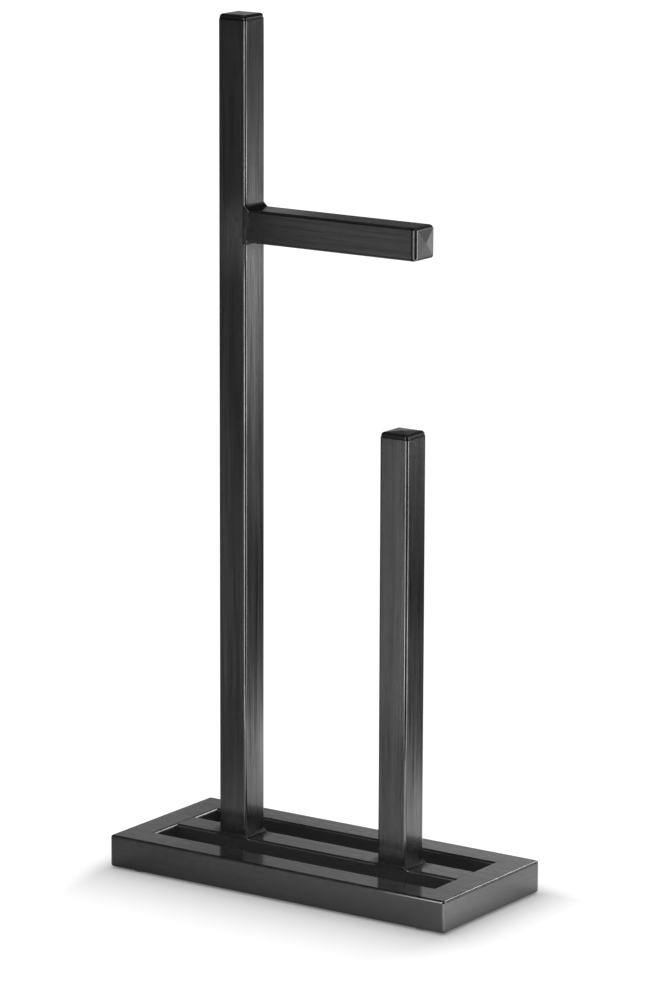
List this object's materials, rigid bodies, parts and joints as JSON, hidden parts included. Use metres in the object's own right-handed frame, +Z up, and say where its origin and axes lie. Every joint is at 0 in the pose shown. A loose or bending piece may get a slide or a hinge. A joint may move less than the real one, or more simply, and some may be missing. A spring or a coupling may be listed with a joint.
{
  "type": "toilet paper holder",
  "caption": "Free-standing toilet paper holder: welded square-tube ladder base, tall post with a side arm for the roll in use, and a short post that stores spare rolls.",
  "frame": {"origin": "middle of the base, at the floor under the foot pads", "axes": "+X along the base towards the free end of the arm, +Y to the back, +Z up along the posts"},
  "size_m": [0.306, 0.1316, 0.6569],
  "materials": {
    "black_brushed_steel": "black, semi-gloss, brushed along each tube",
    "ground_weld": "black, semi-gloss, smooth",
    "cap_plastic": "satin black moulded plastic",
    "foot_rubber": "matt black"
  },
  "bodies": {
    "root": {"front_rail": "black_brushed_steel", "back_rail": "black_brushed_steel", "centre_rail": "black_brushed_steel", "left_end_rail": "black_brushed_steel", "right_end_rail": "black_brushed_steel", "tall_post": "black_brushed_steel", "spare_post": "black_brushed_steel", "roll_arm": "black_brushed_steel", "tall_post_cap": "cap_plastic", "spare_post_cap": "cap_plastic", "arm_cap": "cap_plastic", "tall_post_weld": "ground_weld", "spare_post_weld": "ground_weld", "arm_weld": "ground_weld", "centre_rail_welds": "ground_weld", "front_left_foot": "foot_rubber", "front_right_foot": "foot_rubber", "back_left_foot": "foot_rubber", "back_right_foot": "foot_rubber"}
  },
  "joints": []
}
